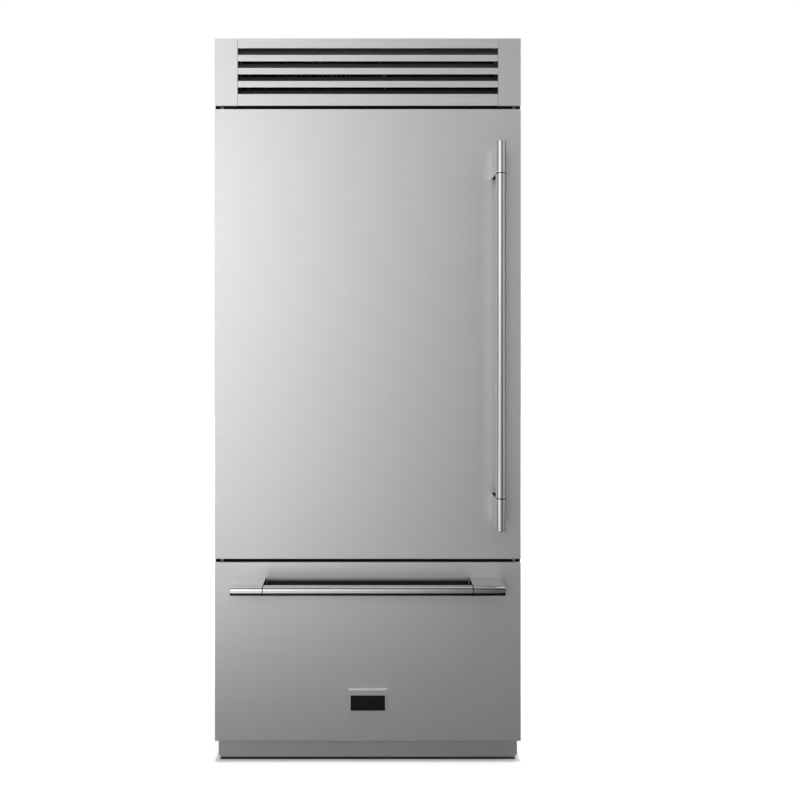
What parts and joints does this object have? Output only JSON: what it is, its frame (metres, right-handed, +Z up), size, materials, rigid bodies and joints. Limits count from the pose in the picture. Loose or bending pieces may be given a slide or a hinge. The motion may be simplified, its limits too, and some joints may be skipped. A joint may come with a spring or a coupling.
{
  "type": "bottom freezer refrigerator",
  "caption": "Built-in refrigerator with a louvred grille, a tall hinged door with a bar handle, a freezer drawer below and a recessed toe kick, in brushed steel.",
  "frame": {"origin": "on the floor, under the centre of the whole object's box, handles included", "axes": "+X to the right seen from the front, -Y out of the door's face, +Z up"},
  "size_m": [0.906, 0.699, 2.16],
  "materials": {
    "brushed_stainless": "satin",
    "handle_steel": "polished",
    "badge_black": "gloss",
    "cabinet_paint": "satin",
    "zinc_sheet": "satin",
    "zinc_hardware": "satin",
    "insulation": "matte",
    "liner_white": "satin",
    "seal_grey": "matte",
    "clear_plastic": "gloss",
    "tub_plastic": "satin",
    "shelf_glass": "gloss",
    "shelf_metal": "satin",
    "fin_aluminium": "satin",
    "black_plastic": "matte",
    "black_enamel": "satin",
    "light_lens": "satin",
    "wheel_nylon": "matte"
  },
  "bodies": {
    "cabinet": {"side_panels": "cabinet_paint", "back_panel": "zinc_sheet", "power_gland": "seal_grey", "top_cover": "cabinet_paint", "machine_deck": "zinc_sheet", "cabinet_foam": "insulation", "fridge_liner": "liner_white", "freezer_liner": "liner_white", "face_frame": "cabinet_paint", "base_frame": "zinc_sheet", "toe_kick": "brushed_stainless", "grille_side_trims": "brushed_stainless", "hinge_brackets": "zinc_hardware", "shelf_glass_1": "shelf_glass", "shelf_glass_2": "shelf_glass", "shelf_glass_3": "shelf_glass", "shelf_trims": "shelf_metal", "crisper_deck": "tub_plastic", "air_duct": "liner_white", "light_bars": "light_lens", "control_panel": "black_plastic", "evaporator": "fin_aluminium", "evaporator_cover": "liner_white", "fan_motors": "black_enamel", "slide_rails": "zinc_hardware", "condenser": "fin_aluminium", "condenser_fan_shroud": "black_plastic", "compressor": "black_enamel", "control_box": "black_plastic"},
    "door": {"door_skin": "brushed_stainless", "door_foam": "insulation", "door_liner": "liner_white", "door_gasket": "seal_grey", "hinge_bushes": "black_plastic", "door_bins": "clear_plastic", "door_handle_bar": "handle_steel", "door_handle_brackets": "handle_steel"},
    "drawer": {"drawer_skin": "brushed_stainless", "drawer_foam": "insulation", "drawer_liner": "liner_white", "drawer_gasket": "seal_grey", "drawer_handle_bar": "handle_steel", "drawer_handle_brackets": "handle_steel", "badge_plate": "brushed_stainless", "badge_inset": "badge_black", "drawer_carrier": "zinc_hardware", "slide_inner_members": "zinc_hardware", "freezer_basket": "tub_plastic"},
    "slide_middles": {"slide_middle_members": "zinc_hardware"},
    "freezer_tray": {"freezer_tray": "tub_plastic"},
    "crisper_left": {"crisper_left": "clear_plastic"},
    "crisper_right": {"crisper_right": "clear_plastic"},
    "grille": {"grille_panel": "brushed_stainless"},
    "condenser_fan": {"condenser_fan_blades": "black_plastic"},
    "evaporator_fan": {"evaporator_fan_blades": "black_plastic"},
    "wheel_left": {"wheel_left": "wheel_nylon"},
    "wheel_right": {"wheel_right": "wheel_nylon"},
    "leg_left": {"leg_left": "zinc_hardware"},
    "leg_right": {"leg_right": "zinc_hardware"},
    "power_rocker": {"power_rocker": "black_plastic"}
  },
  "joints": [
    {"name": "door_hinge", "type": "hinge", "parent": "cabinet", "child": "door", "pos_m": [-0.433, -0.2485, 1.285], "axis": [0, 0, -1], "range_deg": [0, 115]},
    {"name": "drawer_slide", "type": "slide", "parent": "cabinet", "child": "drawer", "axis": [0, -1, 0], "range_m": [0, 0.38]},
    {"name": "slide_middle_travel", "type": "slide", "parent": "cabinet", "child": "slide_middles", "axis": [0, -1, 0], "range_m": [0, 0.19]},
    {"name": "tray_slide", "type": "slide", "parent": "drawer", "child": "freezer_tray", "axis": [0, 1, 0], "range_m": [0, 0.13]},
    {"name": "crisper_left_slide", "type": "slide", "parent": "cabinet", "child": "crisper_left", "axis": [0, -1, 0], "range_m": [0, 0.065]},
    {"name": "crisper_right_slide", "type": "slide", "parent": "cabinet", "child": "crisper_right", "axis": [0, -1, 0], "range_m": [0, 0.065]},
    {"name": "grille_hinge", "type": "hinge", "parent": "cabinet", "child": "grille", "pos_m": [0, -0.2565, 2.148], "axis": [-1, 0, 0], "range_deg": [0, 80]},
    {"name": "condenser_fan_spin", "type": "hinge", "parent": "cabinet", "child": "condenser_fan", "pos_m": [-0.17, -0.1225, 2.045], "axis": [0, 1, 0], "continuous": true},
    {"name": "evaporator_fan_spin", "type": "hinge", "parent": "cabinet", "child": "evaporator_fan", "pos_m": [0, 0.217, 0.48], "axis": [0, 1, 0], "continuous": true},
    {"name": "wheel_left_roll", "type": "hinge", "parent": "cabinet", "child": "wheel_left", "pos_m": [-0.425, 0.3, 0.025], "axis": [1, 0, 0], "continuous": true},
    {"name": "wheel_right_roll", "type": "hinge", "parent": "cabinet", "child": "wheel_right", "pos_m": [0.425, 0.3, 0.025], "axis": [1, 0, 0], "continuous": true},
    {"name": "leg_left_adjust", "type": "slide", "parent": "cabinet", "child": "leg_left", "axis": [0, 0, 1], "range_m": [-0.022, 0]},
    {"name": "leg_right_adjust", "type": "slide", "parent": "cabinet", "child": "leg_right", "axis": [0, 0, 1], "range_m": [-0.022, 0]},
    {"name": "rocker_tip", "type": "hinge", "parent": "cabinet", "child": "power_rocker", "pos_m": [0.27, -0.1855, 2.021], "axis": [-1, 0, 0], "range_deg": [0, 14]}
  ],
  "couplings": [
    {"joint": "slide_middle_travel", "follows": "drawer_slide", "ratio": 0.5}
  ]
}
